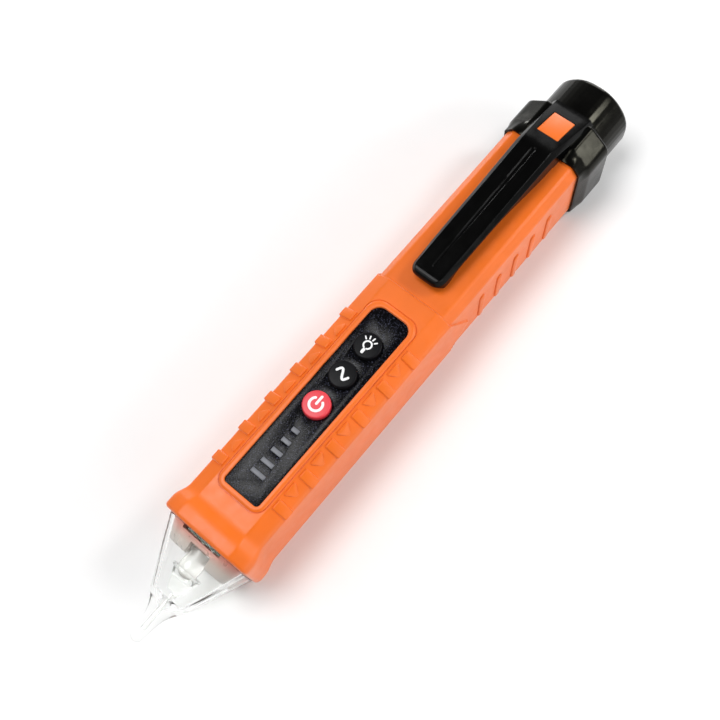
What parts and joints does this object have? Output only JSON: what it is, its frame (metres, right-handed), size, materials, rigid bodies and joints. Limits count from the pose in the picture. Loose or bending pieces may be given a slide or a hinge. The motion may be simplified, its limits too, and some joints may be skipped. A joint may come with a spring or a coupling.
{
  "type": "non-contact voltage tester",
  "caption": "Pen-shaped non-contact voltage tester with a clear probe nose, button panel, pocket clip and a pull-off battery cap.",
  "frame": {"origin": "middle of the bounding box, on the plane that the front flange and the cap's collar rest on", "axes": "+X along the pen from the probe tip to the battery cap, +Y across it, +Z out of the button panel"},
  "size_m": [0.157, 0.0222, 0.025],
  "materials": {
    "shell_orange": "satin moulded ABS with a very fine texture",
    "clear_lens": "clear moulded polycarbonate, lightly frosted inside",
    "clear_guide": "clear moulded acrylic",
    "clear_led": "clear epoxy",
    "tinned_wire": "tinned wire",
    "circuit_board": "green solder mask",
    "component_black": "moulded epoxy",
    "screw_steel": "zinc plated",
    "panel_black": "textured film with a fine sparkle",
    "signal_grey": "translucent grey light guide",
    "led_white": "gloss",
    "tube_black": "moulded",
    "cell_jacket": "printed sleeve, no wording",
    "contact_steel": "nickel plated",
    "cap_black": "gloss moulded ABS",
    "button_red": "satin silicone rubber",
    "button_black": "satin silicone rubber",
    "switch_plastic": "moulded"
  },
  "bodies": {
    "housing": {"front_shell": "shell_orange", "back_shell": "shell_orange", "nose_lens": "clear_lens", "light_guide": "clear_guide", "nose_led": "clear_led", "led_leads": "tinned_wire", "sense_antenna": "tinned_wire", "main_board": "circuit_board", "board_components": "component_black", "board_screws": "screw_steel", "panel_overlay": "panel_black", "signal_bars": "signal_grey", "signal_leds": "led_white", "buzzer": "component_black", "battery_tube": "tube_black", "front_cell": "cell_jacket", "rear_cell": "cell_jacket", "front_contact": "contact_steel", "ground_strip": "contact_steel", "power_switch": "switch_plastic", "sensitivity_switch": "switch_plastic", "lamp_switch": "switch_plastic"},
    "power_key": {"power_button": "button_red", "power_plunger": "switch_plastic"},
    "sensitivity_key": {"sensitivity_button": "button_black", "sensitivity_plunger": "switch_plastic"},
    "lamp_key": {"lamp_button": "button_black", "lamp_plunger": "switch_plastic"},
    "battery_cap": {"battery_cap": "cap_black", "cap_contact_plate": "contact_steel", "cap_spring": "contact_steel"},
    "latch": {"cap_latch": "shell_orange"},
    "clip": {"pocket_clip": "cap_black"}
  },
  "joints": [
    {"name": "power_press", "type": "slide", "parent": "housing", "child": "power_key", "axis": [0, 0, -1], "range_m": [0, 0.0004], "stiffness_N_per_m": 1500, "springref_m": -0.0004},
    {"name": "sensitivity_press", "type": "slide", "parent": "housing", "child": "sensitivity_key", "axis": [0, 0, -1], "range_m": [0, 0.0004], "stiffness_N_per_m": 1500, "springref_m": -0.0004},
    {"name": "lamp_press", "type": "slide", "parent": "housing", "child": "lamp_key", "axis": [0, 0, -1], "range_m": [0, 0.0004], "stiffness_N_per_m": 1500, "springref_m": -0.0004},
    {"name": "latch_press", "type": "hinge", "parent": "housing", "child": "latch", "pos_m": [0.0475, 0, 0.0189], "axis": [0, 1, 0], "range_deg": [0, 8.5], "stiffness_Nm_per_rad": 0.8, "springref_deg": -2.86},
    {"name": "cap_pull", "type": "slide", "parent": "housing", "child": "battery_cap", "axis": [1, 0, 0], "range_m": [0, 0.06], "deforming": ["cap_latch"]},
    {"name": "clip_flex", "type": "hinge", "parent": "battery_cap", "child": "clip", "pos_m": [0.0534, 0, 0.025], "axis": [0, 1, 0], "range_deg": [0, 6], "stiffness_Nm_per_rad": 0.6, "springref_deg": -2.86}
  ]
}
